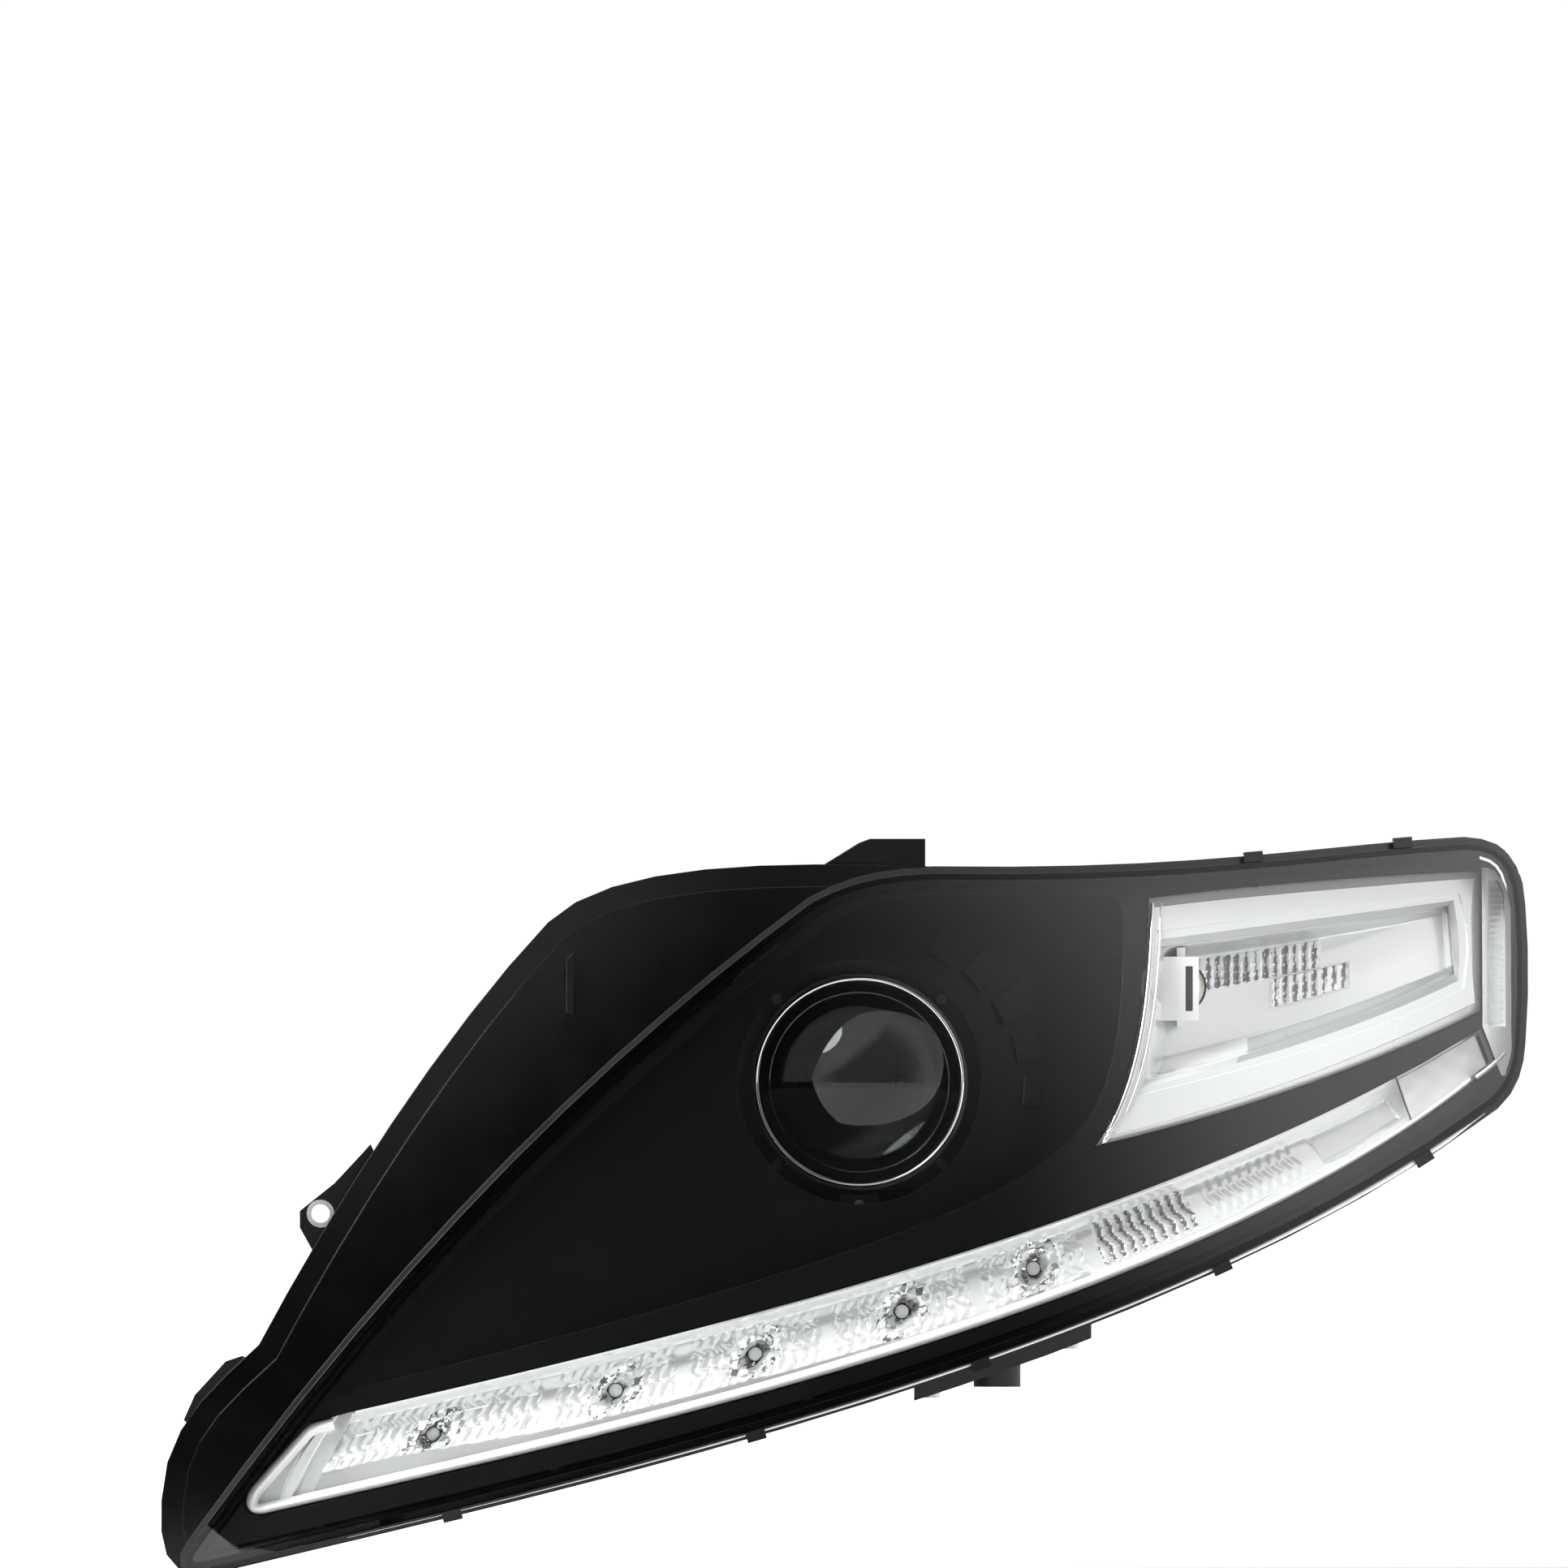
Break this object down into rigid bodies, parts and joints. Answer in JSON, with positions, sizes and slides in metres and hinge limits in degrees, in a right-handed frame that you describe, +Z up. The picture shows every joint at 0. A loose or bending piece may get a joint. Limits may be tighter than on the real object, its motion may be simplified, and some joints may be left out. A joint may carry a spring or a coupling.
{
  "type": "car headlight assembly",
  "caption": "Swept-back projector headlight for a car's front corner: clear curved cover, black bezel, slim daytime strip, indicator chamber, sealed housing with rear caps and bolt ears.",
  "frame": {"origin": "centre of the upper bolt hole, on the top face of its steel sleeve", "axes": "+X outboard towards the wing, +Y rearward into the car, +Z up; the low beam shines along -Y"},
  "size_m": [0.4942, 0.3209, 0.2658],
  "materials": {
    "housing_black": "moulded black, satin",
    "clear_cover": "clear, polished",
    "seal_rubber": "matte",
    "spring_steel": "zinc plated",
    "bezel_black": "satin black",
    "metallised": "vacuum metallised, bright",
    "bright_lip": "bright, smooth",
    "satin_silver": "satin silver",
    "board_green": "solder mask",
    "led_white": "diffused",
    "grey_plastic": "moulded",
    "dark_plastic": "moulded",
    "clear_glass": "polished",
    "amber_glass": "coated",
    "chrome": "polished",
    "cast_alloy": "die cast",
    "bowl_alloy": "bright coated",
    "steel": "zinc plated",
    "shutter_steel": "plain",
    "white_plastic": "moulded nylon",
    "cap_rubber": "moulded",
    "pin_brass": "tin plated"
  },
  "bodies": {
    "lamp": {"housing": "housing_black", "mount_sleeves": "steel", "lower_foot": "dark_plastic", "foot_screws": "steel", "front_lens": "clear_cover", "lens_seal": "seal_rubber", "lens_clips": "spring_steel", "bezel": "bezel_black", "bezel_screws": "steel", "drl_reflector": "metallised", "drl_lip": "bright_lip", "drl_board": "board_green", "board_screws": "steel", "drl_leds": "led_white", "position_reflector": "metallised", "turn_frame": "satin_silver", "turn_reflector": "metallised", "turn_shield": "metallised", "side_reflector": "bright_lip", "pivot_bracket_left": "dark_plastic", "pivot_bracket_right": "dark_plastic", "bracket_screws": "steel", "pitch_pins": "steel", "level_motor": "dark_plastic", "motor_screws": "steel", "main_connector": "dark_plastic", "connector_pins": "pin_brass", "vent_caps": "cap_rubber", "drl_driver": "cast_alloy", "driver_screws": "steel"},
    "frame": {"aim_frame": "cast_alloy", "swivel_pins": "steel"},
    "projector": {"lens_holder": "cast_alloy", "projector_glass": "clear_glass", "lens_ring": "chrome", "reflector_bowl": "bowl_alloy", "projector_screws": "steel", "shutter_pin": "steel", "solenoid": "dark_plastic", "low_beam_bulb": "clear_glass", "aim_nut": "white_plastic"},
    "shutter": {"shutter": "shutter_steel"},
    "plunger": {"plunger": "steel"},
    "bulb_plug": {"bulb_plug": "dark_plastic"},
    "bulb_clip": {"bulb_clip": "spring_steel"},
    "level_rod": {"level_rod": "white_plastic"},
    "vertical_adjuster": {"vertical_adjuster": "white_plastic"},
    "horizontal_adjuster": {"horizontal_adjuster": "white_plastic"},
    "low_beam_cap": {"low_beam_cap": "cap_rubber"},
    "turn_access_cap": {"turn_access_cap": "cap_rubber"},
    "turn_bulb_holder": {"turn_holder": "grey_plastic", "turn_bulb": "amber_glass"},
    "position_bulb_holder": {"position_holder": "grey_plastic", "position_bulb": "clear_glass"}
  },
  "joints": [
    {"name": "aim_vertical", "type": "hinge", "parent": "lamp", "child": "frame", "pos_m": [-0.012, -0.031, -0.088], "axis": [1, 0, 0], "range_deg": [-4, 4]},
    {"name": "aim_horizontal", "type": "hinge", "parent": "frame", "child": "projector", "pos_m": [-0.012, -0.031, -0.088], "axis": [0, 0, 1], "range_deg": [-3, 3]},
    {"name": "shutter_tilt", "type": "hinge", "parent": "projector", "child": "shutter", "pos_m": [-0.012, -0.042, -0.116], "axis": [1, 0, 0], "range_deg": [0, 20], "stiffness_Nm_per_rad": 0.02, "springref_deg": -22.92},
    {"name": "plunger_slide", "type": "slide", "parent": "projector", "child": "plunger", "axis": [0, 1, 0], "range_m": [0, 0.0053]},
    {"name": "plug_pull", "type": "slide", "parent": "projector", "child": "bulb_plug", "axis": [0, 1, 0], "range_m": [0, 0.015]},
    {"name": "clip_swing", "type": "hinge", "parent": "projector", "child": "bulb_clip", "pos_m": [-0.012, 0.0362, -0.069], "axis": [1, 0, 0], "range_deg": [0, 70]},
    {"name": "level_slide", "type": "slide", "parent": "lamp", "child": "level_rod", "axis": [0, 1, 0], "range_m": [-0.0054, 0.0054]},
    {"name": "vertical_screw", "type": "hinge", "parent": "lamp", "child": "vertical_adjuster", "pos_m": [-0.046, 0.087, -0.16], "axis": [0, 1, 0], "range_deg": [-620, 620]},
    {"name": "horizontal_screw", "type": "hinge", "parent": "lamp", "child": "horizontal_adjuster", "pos_m": [0.042, 0.067, -0.108], "axis": [0, 1, 0], "range_deg": [-350, 350]},
    {"name": "low_cap_pull", "type": "slide", "parent": "lamp", "child": "low_beam_cap", "axis": [0, 1, 0], "range_m": [0, 0.05]},
    {"name": "turn_cap_pull", "type": "slide", "parent": "lamp", "child": "turn_access_cap", "axis": [0, 1, 0], "range_m": [0, 0.04]},
    {"name": "turn_holder_twist", "type": "hinge", "parent": "lamp", "child": "turn_bulb_holder", "pos_m": [0.104, 0.002, -0.054], "axis": [0, 1, 0], "range_deg": [0, 45]},
    {"name": "position_holder_twist", "type": "hinge", "parent": "lamp", "child": "position_bulb_holder", "pos_m": [0.197, 0.058, -0.088], "axis": [0, 1, 0], "range_deg": [0, 45]}
  ],
  "couplings": [
    {"joint": "level_slide", "follows": "aim_vertical", "m_per_rad": 0.072},
    {"joint": "vertical_screw", "follows": "aim_vertical", "ratio": 150.8},
    {"joint": "horizontal_screw", "follows": "aim_horizontal", "ratio": 113.1},
    {"joint": "plunger_slide", "follows": "shutter_tilt", "m_per_rad": 0.015}
  ]
}
